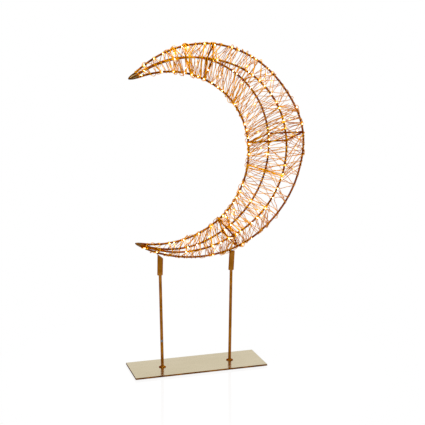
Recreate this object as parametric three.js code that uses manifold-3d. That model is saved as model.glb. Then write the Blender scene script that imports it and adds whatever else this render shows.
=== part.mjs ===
// Light-up crescent moon on a stand: a wire crescent, wound with a string of tiny lights,
// whose two sleeves slip over two posts on a flat base plate.
// Millimetres, +Z up, +X to the right and -Y to the front.
// The origin is the centre of the underside, on the surface that the moon stands on.

import * as THREE from 'three';
import * as BufferGeometryUtils from 'three/addons/utils/BufferGeometryUtils.js';
import Module from 'manifold-3d';

const wasm = await Module();
wasm.setup();

// Base plate, and the thin pad glued under it
const plateLength = 250;
const plateWidth = 85;
const plateThickness = 3;
const padThickness = 1.2;
const padInset = 4;

// Posts, which lean apart a little, with the collar at each foot and the screw from below
const postSpacing = 130.4;
const postsCentreX = -0.2;
const postLean = 0.8;
const postDiameter = 5.4;
const postChamfer = 0.6;
const collarDiameter = 13;
const collarRimHeight = 0.8;
const collarConeDiameter = 9;
const collarHeight = 3.2;
const collarWall = 0.4;
const screwDiameter = 3;
const screwHeadDiameter = 5.8;
const screwHeadHeight = 1.6;
const screwLength = 12;
const screwRecessDiameter = 2;
const screwRecessDepth = 0.9;
const screwSink = 0.2;
const threadRunout = 1.5;

// Sleeves under the outer rim: the left one is cut on the slant, the right one is square
const sleeveDiameter = 10;
const sleeveLength = 36;
const sleeveSlant = 40;
const slideClearance = 0.5;
const plugLength = 4;
const plugDepth = 1;

// Crescent: its centre's height, how far that lies right of the plate's middle, and the wires that
// it is made of
const moonHeight = 394;
const moonX = 0.9;
const rimDiameter = 3.2;
const braceDiameter = 2.5;

// Outline of the crescent, from its upper tip to its lower tip: the angle round the centre, how
// far the outer rim, the inner rim and the two side ribs lie from the centre there, and how much
// further out than that the front rib lies, and the rear rib further in
const outline = [
  { angle: 126.8, outer: 183.3, inner: 174.6, rib: 179, twist: 0 },
  { angle: 118, outer: 186.3, inner: 166, rib: 177.7, twist: 0 },
  { angle: 104, outer: 191.7, inner: 153.5, rib: 175.7, twist: 0.2 },
  { angle: 81.5, outer: 199.2, inner: 134.5, rib: 172.5, twist: 0.1 },
  { angle: 60, outer: 202.8, inner: 120, rib: 169.3, twist: 1.8 },
  { angle: 35, outer: 204.8, inner: 107.3, rib: 164, twist: 1.4 },
  { angle: 11, outer: 208.7, inner: 100.6, rib: 157.2, twist: 0.1 },
  { angle: -12, outer: 200.7, inner: 99.6, rib: 152.6, twist: -0.6 },
  { angle: -40, outer: 192, inner: 106.6, rib: 151.5, twist: -0.7 },
  { angle: -67.5, outer: 187.6, inner: 123.3, rib: 156.6, twist: -0.8 },
  { angle: -88, outer: 185.5, inner: 141.6, rib: 167, twist: -0.5 },
  { angle: -105, outer: 186.3, inner: 160.6, rib: 176.9, twist: 0 },
  { angle: -123.2, outer: 190, inner: 184.7, rib: 187.4, twist: 0 },
];

// Angles at which each set of braces meets the four wires
const braceAngles = {
  upper: { outer: 80.7, front: 82, inner: 83.8, rear: 81 },
  middle: { outer: 10.3, front: 10.1, inner: 11.9, rear: 11.5 },
  lower: { outer: -65.3, front: -67, inner: -70.2, rear: -68.3 },
};

// The side ribs spread evenly from an upright line just left of the tips
const ribTilt = 9.44;
const tiltLineX = -117;

// Tip caps, where the four wires run together
const upperTipAngle = 131.2;
const upperTipRadius = 182.7;
const lowerTipAngle = -126.9;
const lowerTipRadius = 190.4;
const capMargin = 0.3;
const capSlack = 0.5;
const capRoundness = 1.5;

// Light string, wound round the rims and ribs, and its beads
const stringDiameter = 0.7;
const stringClearance = 0.65;
const stringLoops = 24;
const stringEndRun = 2;
const cornerTurn = 0.02;
const sidePlaces = [0.25, 0.5, 0.75];
const beadDiameter = 2.4;
const beadLength = 3.4;
const beadBoreClearance = 0.4;
const beadTaper = 0.35;

// Gap that joined pieces keep where they aren't face to face
const jointGap = 0.3;

// How finely round shapes are cut
const wireSides = 8;
const stringSides = 6;
const roundSides = 20;
const beadSides = 8;
const outerRimSteps = 64;
const wireSteps = 48;
const capSteps = 6;
const capSides = 16;
const capEndShare = 0.5;
const searchSteps = 50;
const nearby = 0.01;

const bronze = { color: 0x8f5f22, roughness: 0.35, metalness: 1 };
const satinGold = { color: 0xc8bca0, roughness: 0.3, metalness: 1 };
const copper = { color: 0xc8702c, roughness: 0.3, metalness: 1 };
const steel = { color: 0xb8b8b4, roughness: 0.3, metalness: 1 };
const clearGlow = { color: 0xffe9b8, roughness: 0.2, metalness: 0, emissive: 0xffd480 };
const blackFoam = { color: 0x1c1c1c, roughness: 0.9, metalness: 0 };

const plateTop = padThickness + plateThickness;
const rimRadius = rimDiameter / 2;
const braceRadius = braceDiameter / 2;
const postRadius = postDiameter / 2;
const sleeveRadius = sleeveDiameter / 2;
const sleeveBore = postRadius + slideClearance;
const stringRadius = stringDiameter / 2;
const stringOffset = rimRadius + stringRadius + stringClearance;
const lastRow = outline.length - 1;

const crescent = new THREE.Group();
const stand = new THREE.Group();
const moon = new THREE.Group();
crescent.add(stand, moon);

function addPart(group, name, geometry, look) {
  const mesh = new THREE.Mesh(geometry, new THREE.MeshStandardMaterial(look));
  mesh.name = name;
  group.add(mesh);
  return mesh;
}

// Boolean helpers

function toSolid(geometry) {
  const bare = geometry.clone();
  bare.deleteAttribute('normal');
  bare.deleteAttribute('uv');
  const merged = BufferGeometryUtils.mergeVertices(bare, 1e-5);
  return new wasm.Manifold(new wasm.Mesh({
    numProp: 3,
    vertProperties: new Float32Array(merged.attributes.position.array),
    triVerts: new Uint32Array(merged.index.array),
  }));
}

function toGeometry(solid) {
  const mesh = solid.getMesh();
  const geometry = new THREE.BufferGeometry();
  geometry.setAttribute('position', new THREE.BufferAttribute(new Float32Array(mesh.vertProperties), 3));
  geometry.setIndex(new THREE.BufferAttribute(new Uint32Array(mesh.triVerts), 1));
  geometry.computeVertexNormals();
  return geometry;
}

// Round piece about an upright axis, from its profile as [radius, height] pairs
function turned(profile, sides = roundSides) {
  const points = profile.map(([radius, height]) => new THREE.Vector2(radius, height));
  const geometry = new THREE.LatheGeometry(points, sides);
  geometry.rotateX(Math.PI / 2);
  return geometry;
}

// Closed body over a row of rings with the same number of points, each ring turning
// counterclockwise as seen from the next one
function skin(rings) {
  const count = rings[0].length;
  const positions = [];
  const triangles = [];
  for (const ring of rings) {
    for (const point of ring) positions.push(point.x, point.y, point.z);
  }
  for (let row = 0; row < rings.length - 1; row += 1) {
    for (let k = 0; k < count; k += 1) {
      const a = row * count + k;
      const b = row * count + (k + 1) % count;
      triangles.push(a, b, a + count, b, b + count, a + count);
    }
  }
  const ends = [rings[0], rings[rings.length - 1]];
  ends.forEach((ring, end) => {
    const centre = new THREE.Vector3();
    for (const point of ring) centre.addScaledVector(point, 1 / count);
    const hub = positions.length / 3;
    positions.push(centre.x, centre.y, centre.z);
    const start = end === 0 ? 0 : (rings.length - 1) * count;
    for (let k = 0; k < count; k += 1) {
      const a = start + k;
      const b = start + (k + 1) % count;
      if (end === 0) triangles.push(hub, b, a);
      else triangles.push(hub, a, b);
    }
  });
  const geometry = new THREE.BufferGeometry();
  geometry.setAttribute('position', new THREE.Float32BufferAttribute(positions, 3));
  geometry.setIndex(triangles);
  geometry.computeVertexNormals();
  return geometry;
}

// Smooth value at a place in the outline, counted in rows
function along(key, place) {
  const row = Math.min(Math.max(Math.floor(place), 0), lastRow - 1);
  const share = place - row;
  const b = outline[row][key];
  const c = outline[row + 1][key];
  const a = row > 0 ? outline[row - 1][key] : 2 * b - c;
  const d = row + 2 <= lastRow ? outline[row + 2][key] : 2 * c - b;
  const bend = (a - 2 * b + c) * share * (1 - share) ** 2 + (b - 2 * c + d) * share ** 2 * (1 - share);
  return b + (c - b) * share - bend / 2;
}

// Place in the outline where a value that falls or rises steadily between two rows is reached
function placeWhere(measure, target, from, to) {
  const rising = measure(to) > measure(from);
  let low = from;
  let high = to;
  for (let step = 0; step < searchSteps; step += 1) {
    const middle = (low + high) / 2;
    if ((measure(middle) < target) === rising) low = middle;
    else high = middle;
  }
  return (low + high) / 2;
}

function outward(place) {
  const turn = THREE.MathUtils.degToRad(along('angle', place));
  return new THREE.Vector3(Math.cos(turn), 0, Math.sin(turn));
}

function outlinePoint(place, radius, depth = 0) {
  const point = outward(place).multiplyScalar(radius);
  return point.add(new THREE.Vector3(moonX, depth, moonHeight));
}

function placeAt(angle) {
  return placeWhere((at) => along('angle', at), angle, 0, lastRow);
}

function halfDepth(place) {
  const x = outward(place).x * along('rib', place);
  return Math.tan(THREE.MathUtils.degToRad(ribTilt)) * (x - tiltLineX);
}

// The four wires of the crescent as places in space
const wires = {
  outer: (place) => outlinePoint(place, along('outer', place)),
  front: (place) => outlinePoint(place, along('rib', place) + along('twist', place), -halfDepth(place)),
  inner: (place) => outlinePoint(place, along('inner', place)),
  rear: (place) => outlinePoint(place, along('rib', place) - along('twist', place), halfDepth(place)),
};

class WireCurve extends THREE.Curve {
  constructor(wire) {
    super();
    this.wire = wire;
  }

  getPoint(share, target = new THREE.Vector3()) {
    return target.copy(this.wire(share * lastRow));
  }
}

function ringShape(radius, sides) {
  const shape = new THREE.Shape();
  for (let k = 0; k < sides; k += 1) {
    const turn = (2 * Math.PI * k) / sides;
    if (k === 0) shape.moveTo(radius, 0);
    else shape.lineTo(radius * Math.cos(turn), radius * Math.sin(turn));
  }
  shape.closePath();
  return shape;
}

function wireGeometry(curve, radius, steps) {
  return new THREE.ExtrudeGeometry(ringShape(radius, wireSides), {
    steps,
    bevelEnabled: false,
    extrudePath: curve,
  });
}

addPart(moon, 'outer_rim', wireGeometry(new WireCurve(wires.outer), rimRadius, outerRimSteps), bronze);
addPart(moon, 'inner_rim', wireGeometry(new WireCurve(wires.inner), rimRadius, wireSteps), bronze);
addPart(moon, 'front_rib', wireGeometry(new WireCurve(wires.front), rimRadius, wireSteps), bronze);
addPart(moon, 'rear_rib', wireGeometry(new WireCurve(wires.rear), rimRadius, wireSteps), bronze);

// Braces: straight rods from the rims to the ribs, four in each of three places
const braceReach = rimRadius + 2 * jointGap;
for (const [level, angles] of Object.entries(braceAngles)) {
  for (const side of ['front', 'rear']) {
    for (const rim of ['outer', 'inner']) {
      const start = wires[rim](placeAt(angles[rim]));
      const end = wires[side](placeAt(angles[side]));
      const direction = end.clone().sub(start).normalize();
      start.addScaledVector(direction, braceReach);
      end.addScaledVector(direction, -braceReach);
      const rod = new THREE.LineCurve3(start, end);
      addPart(moon, `${level}_${side}_${rim}_brace`, wireGeometry(rod, braceRadius, 1), bronze);
    }
  }
}

// Tip caps: ovals that shrink from the wires' ends to the tip
function tipCap(place, tipAngle, tipRadius, sign) {
  const radial = outward(place);
  const depthwise = new THREE.Vector3(0, 1, 0);
  const forward = new THREE.Vector3().crossVectors(radial, depthwise).multiplyScalar(sign);
  const middleRadius = (along('outer', place) + along('inner', place)) / 2;
  const base = outlinePoint(place, middleRadius).addScaledVector(forward, jointGap + capSlack);
  const turn = THREE.MathUtils.degToRad(tipAngle);
  const tip = new THREE.Vector3(tipRadius * Math.cos(turn), 0, tipRadius * Math.sin(turn));
  tip.add(new THREE.Vector3(moonX, 0, moonHeight));
  const halfHeight = (along('outer', place) - along('inner', place)) / 2 + rimRadius + capMargin;
  const halfWidth = halfDepth(place) + stringOffset + stringRadius + capMargin;
  const rings = [];
  for (let step = 0; step <= capSteps; step += 1) {
    const share = Math.sin((Math.PI / 2) * (step / (capSteps + capEndShare)));
    const size = (1 - share ** capRoundness) ** (1 / capRoundness);
    const centre = base.clone().lerp(tip, share);
    const ring = [];
    for (let k = 0; k < capSides; k += 1) {
      const angle = (sign * 2 * Math.PI * k) / capSides;
      const point = centre.clone();
      point.addScaledVector(radial, size * halfHeight * Math.cos(angle));
      point.addScaledVector(depthwise, size * halfWidth * Math.sin(angle));
      ring.push(point);
    }
    rings.push(ring);
  }
  return skin(rings);
}

addPart(moon, 'upper_tip_cap', tipCap(0, upperTipAngle, upperTipRadius, 1), bronze);
addPart(moon, 'lower_tip_cap', tipCap(lastRow, lowerTipAngle, lowerTipRadius, -1), bronze);

// Base plate with a countersunk hole under each post, and the pad under it
const feet = [['left', postsCentreX - postSpacing / 2], ['right', postsCentreX + postSpacing / 2]];
const screwBottom = padThickness + screwSink;
const screwGap = jointGap;
const holeRadius = screwDiameter / 2 + screwGap;

function screwProfile(grow, bottom, top) {
  const head = screwHeadDiameter / 2 + grow;
  const shank = screwDiameter / 2 + grow;
  return [[0, bottom], [head, bottom], [head, screwBottom], [shank, screwBottom + screwHeadHeight],
    [shank, top], [0, top]];
}

const plateBox = new THREE.BoxGeometry(plateLength, plateWidth, plateThickness);
plateBox.translate(0, 0, padThickness + plateThickness / 2);
let plateSolid = toSolid(plateBox);
for (const [, x] of feet) {
  const cutter = turned(screwProfile(screwGap, 0, plateTop + 1));
  cutter.translate(x, 0, 0);
  plateSolid = plateSolid.subtract(toSolid(cutter));
}
addPart(stand, 'base_plate', toGeometry(plateSolid), satinGold);

const pad = new THREE.BoxGeometry(plateLength - 2 * padInset, plateWidth - 2 * padInset, padThickness);
addPart(stand, 'base_pad', pad, blackFoam).position.z = padThickness / 2;

// Posts and sleeves lean outward, but their level faces stay level
const leanSlope = Math.tan(THREE.MathUtils.degToRad(postLean));

function axisX(foot, height) {
  return foot + Math.sign(foot) * leanSlope * (height - plateTop);
}

function leaned(geometry, foot) {
  const slope = Math.sign(foot) * leanSlope;
  geometry.applyMatrix4(new THREE.Matrix4().makeShear(0, 0, 0, 0, slope, 0));
  geometry.translate(-slope * plateTop, 0, 0);
  return geometry;
}

// Heights of the sleeves, from the underside of the outer rim above their outer or left edge
const lowestRow = outline.findIndex((row) => row.angle < 0) - 1;

function placeAbove(x) {
  return placeWhere((at) => wires.outer(at).x, x, lowestRow, lastRow);
}

function rimUnderside(x) {
  const place = placeAbove(x);
  const slope = wires.outer(place + nearby).sub(wires.outer(place - nearby)).normalize();
  return wires.outer(place).z - rimRadius / Math.abs(slope.x);
}

function sleeveTop(foot) {
  const roughTop = moonHeight - lowerTipRadius;
  return rimUnderside(axisX(foot, roughTop) - sleeveRadius) - jointGap;
}

const slantDrop = Math.tan(THREE.MathUtils.degToRad(sleeveSlant));
const [leftSleeveTop, rightSleeveTop] = feet.map(([, x]) => sleeveTop(x));
const leftSleeveLip = leftSleeveTop - sleeveDiameter * slantDrop;
const sleeveBottom = rightSleeveTop - sleeveLength;
const plugTop = Math.min(leftSleeveLip, rightSleeveTop) - plugDepth;
const plugBottom = plugTop - plugLength;
const postTop = plugBottom - jointGap;

function postGeometry() {
  const bore = screwDiameter / 2 + screwGap;
  const boreTop = screwBottom + screwLength + threadRunout;
  return turned([[0, boreTop], [bore, boreTop], [bore, plateTop], [postRadius, plateTop],
    [postRadius, postTop - postChamfer], [postRadius - postChamfer, postTop], [0, postTop]]);
}

function collarGeometry() {
  const bore = postRadius + jointGap;
  const top = plateTop + collarHeight;
  const rimTop = plateTop + collarRimHeight;
  return turned([[bore, plateTop], [collarDiameter / 2, plateTop], [collarDiameter / 2, rimTop],
    [collarConeDiameter / 2, rimTop], [bore + collarWall, top], [bore, top], [bore, plateTop]]);
}

function screwGeometry() {
  const recess = screwRecessDiameter / 2;
  const shank = screwDiameter / 2;
  const top = screwBottom + screwLength;
  return turned([[0, screwBottom + screwRecessDepth], [recess, screwBottom + screwRecessDepth],
    [recess, screwBottom], [screwHeadDiameter / 2, screwBottom], [shank, screwBottom + screwHeadHeight],
    [shank, top], [0, top]]);
}

function sleeveGeometry(top) {
  return turned([[sleeveBore, sleeveBottom], [sleeveRadius, sleeveBottom], [sleeveRadius, top],
    [sleeveBore, top], [sleeveBore, sleeveBottom]]);
}

// The slanted cut falls from the sleeve's outer edge towards the middle of the stand
function slantedSleeveGeometry() {
  const reach = sleeveLength;
  const shape = new THREE.Shape();
  shape.moveTo(-sleeveRadius - 1, leftSleeveTop + slantDrop);
  shape.lineTo(-sleeveRadius, leftSleeveTop);
  shape.lineTo(sleeveRadius + 1, leftSleeveLip - slantDrop);
  shape.lineTo(sleeveRadius + 1, leftSleeveTop + reach);
  shape.lineTo(-sleeveRadius - 1, leftSleeveTop + reach);
  shape.closePath();
  const wedge = new THREE.ExtrudeGeometry(shape, { depth: 2 * sleeveDiameter, bevelEnabled: false });
  wedge.rotateX(Math.PI / 2);
  wedge.translate(0, sleeveDiameter, 0);
  return toGeometry(toSolid(sleeveGeometry(leftSleeveTop + 1)).subtract(toSolid(wedge)));
}

function plugGeometry() {
  const radius = sleeveBore - jointGap;
  return turned([[0, plugBottom], [radius, plugBottom], [radius, plugTop], [0, plugTop]]);
}

for (const [side, x] of feet) {
  const sleeve = side === 'left' ? slantedSleeveGeometry() : sleeveGeometry(rightSleeveTop);
  addPart(stand, `${side}_post`, leaned(postGeometry(), x), bronze).position.x = x;
  addPart(stand, `${side}_post_collar`, collarGeometry(), bronze).position.x = x;
  addPart(stand, `${side}_base_screw`, screwGeometry(), steel).position.x = x;
  addPart(moon, `${side}_sleeve`, leaned(sleeve, x), bronze).position.x = x;
  addPart(moon, `${side}_sleeve_plug`, leaned(plugGeometry(), x), bronze).position.x = x;
}

// Light string: it leaves the upper tip cap beside the front rib, goes round the four wires once
// a loop, front side first, and ends at the lower tip cap
const corners = ['outer', 'front', 'inner', 'rear'];
const firstTurn = 0.25;
const endTurn = THREE.MathUtils.radToDeg((jointGap + capSlack + stringEndRun) / upperTipRadius);
const firstAngle = outline[0].angle - endTurn;
const lastAngle = outline[lastRow].angle + endTurn;
const sleeveAngles = feet.map(([, x]) => along('angle', placeAbove(axisX(x, sleeveBottom + sleeveLength))));
const sleeveClearAngle = THREE.MathUtils.radToDeg(
  (sleeveRadius + stringDiameter + 2 * stringClearance) / lowerTipRadius,
);

// Angle at which the string crosses the outer rim for each whole turn, moved clear of the sleeves
function crossingAngle(turn) {
  const even = firstAngle + ((lastAngle - firstAngle) * (turn - firstTurn)) / stringLoops;
  for (const sleeve of sleeveAngles) {
    const away = even - sleeve;
    if (Math.abs(away) < sleeveClearAngle) return sleeve + Math.sign(away || 1) * sleeveClearAngle;
  }
  return even;
}

function stringAngle(turn) {
  const whole = Math.floor(turn);
  const share = turn - whole;
  return crossingAngle(whole) * (1 - share) + crossingAngle(whole + 1) * share;
}

// Way out of the crescent across the side that follows a corner
function sideNormal(place, corner) {
  const across = wires[corners[(corner + 1) % 4]](place).sub(wires[corners[corner % 4]](place));
  const forward = new THREE.Vector3().crossVectors(outward(place), new THREE.Vector3(0, 1, 0));
  return forward.cross(across).normalize();
}

function stringPoint(turn) {
  const angle = stringAngle(turn);
  const place = placeAt(angle);
  const quarter = ((turn % 1) + 1) % 1 * 4;
  const corner = Math.round(quarter) % 4;
  const fromCorner = (quarter - Math.round(quarter)) / 4;
  const turnShare = THREE.MathUtils.clamp(fromCorner / cornerTurn, -1, 1);
  const before = sideNormal(place, corner + 3);
  const after = sideNormal(place, corner);
  const middle = before.clone().add(after).normalize();
  const nearSide = turnShare < 0 ? before : after;
  const normal = middle.lerp(nearSide, Math.abs(turnShare)).normalize();
  const side = Math.floor(quarter);
  const sideShare = THREE.MathUtils.clamp((quarter - side - 4 * cornerTurn) / (1 - 8 * cornerTurn), 0, 1);
  const point = wires[corners[side % 4]](place).lerp(wires[corners[(side + 1) % 4]](place), sideShare);
  return point.addScaledVector(normal, stringOffset);
}

function stringPath() {
  const lastTurn = firstTurn + stringLoops;
  const cap = (place, sign) => {
    const forward = new THREE.Vector3().crossVectors(outward(place), new THREE.Vector3(0, 1, 0));
    return forward.multiplyScalar(sign);
  };
  const points = [];
  const start = stringPoint(firstTurn);
  points.push(start.clone().addScaledVector(cap(0, 1), stringEndRun));
  points.push(start);
  for (let quarter = 1; quarter < 4 * stringLoops + 1; quarter += 1) {
    const corner = quarter / 4;
    if (quarter > 1) points.push(stringPoint(corner - cornerTurn), stringPoint(corner));
    points.push(stringPoint(corner + cornerTurn));
    for (const share of sidePlaces) {
      points.push(stringPoint(corner + cornerTurn + share * (0.25 - 2 * cornerTurn)));
    }
  }
  const end = stringPoint(lastTurn);
  points.push(stringPoint(lastTurn - cornerTurn));
  points.push(end);
  points.push(end.clone().addScaledVector(cap(lastRow, -1), stringEndRun));
  return points;
}

function tangentAt(points, k) {
  const before = points[Math.max(k - 1, 0)];
  const after = points[Math.min(k + 1, points.length - 1)];
  return after.clone().sub(before).normalize();
}

function tubeRings(points, radius, sideCount) {
  let across = new THREE.Vector3(0, 1, 0);
  return points.map((point, k) => {
    const tangent = tangentAt(points, k);
    across = across.clone().addScaledVector(tangent, -across.dot(tangent)).normalize();
    const up = new THREE.Vector3().crossVectors(tangent, across);
    const ring = [];
    for (let n = 0; n < sideCount; n += 1) {
      const angle = (2 * Math.PI * n) / sideCount;
      const spot = point.clone().addScaledVector(across, radius * Math.cos(angle));
      ring.push(spot.addScaledVector(up, radius * Math.sin(angle)));
    }
    return ring;
  });
}

// Least gap between turns of the string, over points that are more than half a loop apart
function leastGap(points) {
  const halfLoop = 2 * (sidePlaces.length + 3);
  let least = Infinity;
  for (let a = 0; a < points.length; a += 1) {
    for (let b = a + halfLoop; b < points.length; b += 1) least = Math.min(least, points[a].distanceTo(points[b]));
  }
  return least - stringDiameter;
}

const path = stringPath();
addPart(moon, 'light_string', skin(tubeRings(path, stringRadius, stringSides)), copper);
console.log(`light_string: least gap to itself ${leastGap(path).toFixed(2)} mm`);

// Light beads: one a loop, threaded on the string at the middle of a side, each a side further on
function beadGeometry() {
  const bore = stringRadius + beadBoreClearance;
  const radius = beadDiameter / 2;
  const end = bore + (radius - bore) * beadTaper;
  const half = beadLength / 2;
  return turned([[bore, -half], [end, -half], [radius, -half / 3], [radius, half / 3], [end, half],
    [bore, half], [bore, -half]], beadSides);
}

const firstBeadTurn = 0.375;
for (let loop = 0; loop < stringLoops; loop += 1) {
  const turn = loop + firstBeadTurn + (loop % 4) / 4;
  const bead = addPart(moon, `light_bead_${String(loop + 1).padStart(2, '0')}`, beadGeometry(), clearGlow);
  bead.position.copy(stringPoint(turn));
  const direction = stringPoint(turn + nearby).sub(stringPoint(turn - nearby)).normalize();
  bead.quaternion.setFromUnitVectors(new THREE.Vector3(0, 0, 1), direction);
}

export default crescent;
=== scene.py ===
import random
from math import atan2, copysign, cos, degrees, exp, hypot, pi, radians, sin, sqrt

import bmesh
import bpy
import numpy as np
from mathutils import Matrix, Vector


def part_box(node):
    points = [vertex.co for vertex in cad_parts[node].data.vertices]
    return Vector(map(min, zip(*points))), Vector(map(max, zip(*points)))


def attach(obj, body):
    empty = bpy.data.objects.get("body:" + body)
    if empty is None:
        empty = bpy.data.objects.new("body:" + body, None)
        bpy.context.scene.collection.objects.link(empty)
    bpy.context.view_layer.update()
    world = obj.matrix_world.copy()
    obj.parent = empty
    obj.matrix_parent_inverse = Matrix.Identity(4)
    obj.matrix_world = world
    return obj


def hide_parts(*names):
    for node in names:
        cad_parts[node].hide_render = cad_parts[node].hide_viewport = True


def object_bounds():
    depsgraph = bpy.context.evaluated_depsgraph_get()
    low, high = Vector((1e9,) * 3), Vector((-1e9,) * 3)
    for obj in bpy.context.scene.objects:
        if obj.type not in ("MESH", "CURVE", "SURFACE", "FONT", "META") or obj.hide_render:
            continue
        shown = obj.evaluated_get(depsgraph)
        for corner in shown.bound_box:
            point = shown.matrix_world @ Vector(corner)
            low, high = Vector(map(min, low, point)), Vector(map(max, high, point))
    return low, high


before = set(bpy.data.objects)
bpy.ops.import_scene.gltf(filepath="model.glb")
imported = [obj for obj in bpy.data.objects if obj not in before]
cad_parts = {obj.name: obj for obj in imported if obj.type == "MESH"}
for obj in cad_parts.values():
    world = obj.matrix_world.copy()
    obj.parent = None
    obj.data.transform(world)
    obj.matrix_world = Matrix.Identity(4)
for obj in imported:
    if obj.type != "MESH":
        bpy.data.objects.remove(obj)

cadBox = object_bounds()
mm = 0.001
samePlace = 1e-6  # metres; verts nearer than this are one
sameHeight = 1e-5

# The crescent lies in the XZ plane, and angles round it are taken about this point
moonCentre = Vector((0.0009, 0, 0.394))


# Small helpers for meshes

def addObject(name, data):
    thing = bpy.data.objects.new(name, data)
    bpy.context.scene.collection.objects.link(thing)
    return thing


def makeObject(name, verts, faces, material, smooth=True):
    mesh = bpy.data.meshes.new(name)
    mesh.from_pydata([tuple(v) for v in verts], [], faces)
    mesh.validate()
    mesh.update()
    if smooth:
        mesh.shade_smooth()
    mesh.materials.append(material)
    return addObject(name, mesh)


def joinParts(parts):
    # one list of verts and one of faces from several
    verts, faces = [], []
    for partVerts, partFaces in parts:
        first = len(verts)
        verts.extend(partVerts)
        faces.extend([tuple(first + k for k in face) for face in partFaces])
    return verts, faces


def ringFaces(rings, sides, capped=True):
    # faces from each ring of verts to the next, and over both ends
    faces = []
    for ring in range(rings - 1):
        for k in range(sides):
            a, b = ring * sides + k, ring * sides + (k + 1) % sides
            faces.append((a, b, b + sides, a + sides))
    if capped:
        last = (rings - 1) * sides
        faces.append(tuple(reversed(range(sides))))
        faces.append(tuple(last + k for k in range(sides)))
    return faces


def sweep(points, radii, sides, across=None):
    # closed tube along points, with one radius for each
    tangents = []
    for k in range(len(points)):
        before = points[max(k - 1, 0)]
        after = points[min(k + 1, len(points) - 1)]
        tangents.append((after - before).normalized())
    side = Vector(across) if across else tangents[0].orthogonal()
    verts = []
    for point, tangent, radius in zip(points, tangents, radii):
        side = (side - tangent * side.dot(tangent)).normalized()
        up = tangent.cross(side)
        for k in range(sides):
            turn = 2 * pi * k / sides
            verts.append(point + (side * cos(turn) + up * sin(turn)) * radius)
    return verts, ringFaces(len(points), sides)


def lathe(profile, sides):
    # closed ring or solid about an upright axis; profile is (radius, height) pairs in metres,
    # counterclockwise when height is up and radius to the right
    verts, faces, rings = [], [], []
    for radius, height in profile:
        if radius == 0:
            rings.append([len(verts)])
            verts.append(Vector((0, 0, height)))
            continue
        rings.append(list(range(len(verts), len(verts) + sides)))
        for k in range(sides):
            turn = 2 * pi * k / sides
            verts.append(Vector((radius * cos(turn), radius * sin(turn), height)))
    closed = len(rings[0]) > 1
    pairs = list(zip(rings, rings[1:])) + ([(rings[-1], rings[0])] if closed else [])
    for low, high in pairs:
        for k in range(sides):
            n = (k + 1) % sides
            corners = [low[k % len(low)], low[n % len(low)], high[n % len(high)], high[k % len(high)]]
            faces.append(tuple(dict.fromkeys(corners)))  # triangles at a point on the axis
    return verts, faces


def mergeClose(piece):
    work = bmesh.new()
    work.from_mesh(piece.data)
    bmesh.ops.remove_doubles(work, verts=work.verts, dist=samePlace)
    bmesh.ops.recalc_face_normals(work, faces=work.faces)
    work.to_mesh(piece.data)
    work.free()


def sharpen(piece, angle=35):
    piece.data.set_sharp_from_angle(angle=radians(angle))


def secondMaterial(piece, material, firstFace):
    # a second material for all faces from one on
    piece.data.materials.append(material)
    for face in piece.data.polygons[firstFace:]:
        face.material_index = 1


def finishPiece(piece, body, slot, *nodes):
    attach(piece, body)
    if nodes:
        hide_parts(*nodes)


def makePiece(name, shape, material, body, slot, *nodes):
    piece = makeObject(name, *shape, material)
    sharpen(piece)
    finishPiece(piece, body, slot, *nodes)


# Small helpers for materials

white = (1, 1, 1, 1)
even = (1, 1, 1)  # noise of one scale along all axes


def srgb(red, green, blue):
    def linear(value):
        value /= 255
        return value / 12.92 if value <= 0.04045 else ((value + 0.055) / 1.055) ** 2.4
    return (linear(red), linear(green), linear(blue), 1.0)


def setInputs(tree, node, inputs):
    # each value is a number, a colour or another node's output
    for socket, value in inputs.items():
        if isinstance(value, bpy.types.NodeSocket):
            tree.links.new(value, node.inputs[socket])
        else:
            node.inputs[socket].default_value = value


def addNode(tree, kind, inputs):
    node = tree.nodes.new(kind)
    setInputs(tree, node, inputs)
    return node


def newMaterial(name):
    material = bpy.data.materials.new(name)
    material.use_nodes = True
    tree = material.node_tree
    return material, tree, tree.nodes["Principled BSDF"]


def noise(tree, stretch, scale, detail, rough=0.55):
    coords = tree.nodes.new("ShaderNodeTexCoord")
    mapping = addNode(tree, "ShaderNodeMapping", {"Vector": coords.outputs["Object"], "Scale": stretch})
    node = addNode(tree, "ShaderNodeTexNoise", {
        "Vector": mapping.outputs["Vector"], "Scale": scale, "Detail": detail, "Roughness": rough,
    })
    return node.outputs["Fac"]


def ramp(tree, source, stops):
    # each stop is a place from 0 to 1 and a colour
    node = addNode(tree, "ShaderNodeValToRGB", {"Fac": source})
    elements = node.color_ramp.elements
    while len(elements) < len(stops):
        elements.new(0.5)
    for element, (position, colour) in zip(elements, stops):
        element.position = position
        element.color = srgb(*colour)
    return node.outputs["Color"]


def spread(tree, source, results, limits=(0.3, 0.7)):
    # maps what lies between two limits onto two results
    node = addNode(tree, "ShaderNodeMapRange", {
        "Value": source,
        "From Min": limits[0],
        "From Max": limits[1],
        "To Min": results[0],
        "To Max": results[1],
    })
    return node.outputs["Result"]


def maths(tree, operation, *values, clamp=False):
    node = tree.nodes.new("ShaderNodeMath")
    node.operation = operation
    node.use_clamp = clamp
    setInputs(tree, node, dict(enumerate(values)))
    return node.outputs["Value"]


def bump(tree, source, strength, depth=0.1 * mm):
    node = addNode(tree, "ShaderNodeBump", {"Height": source, "Strength": strength, "Distance": depth})
    return node.outputs["Normal"]


# Materials

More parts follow.
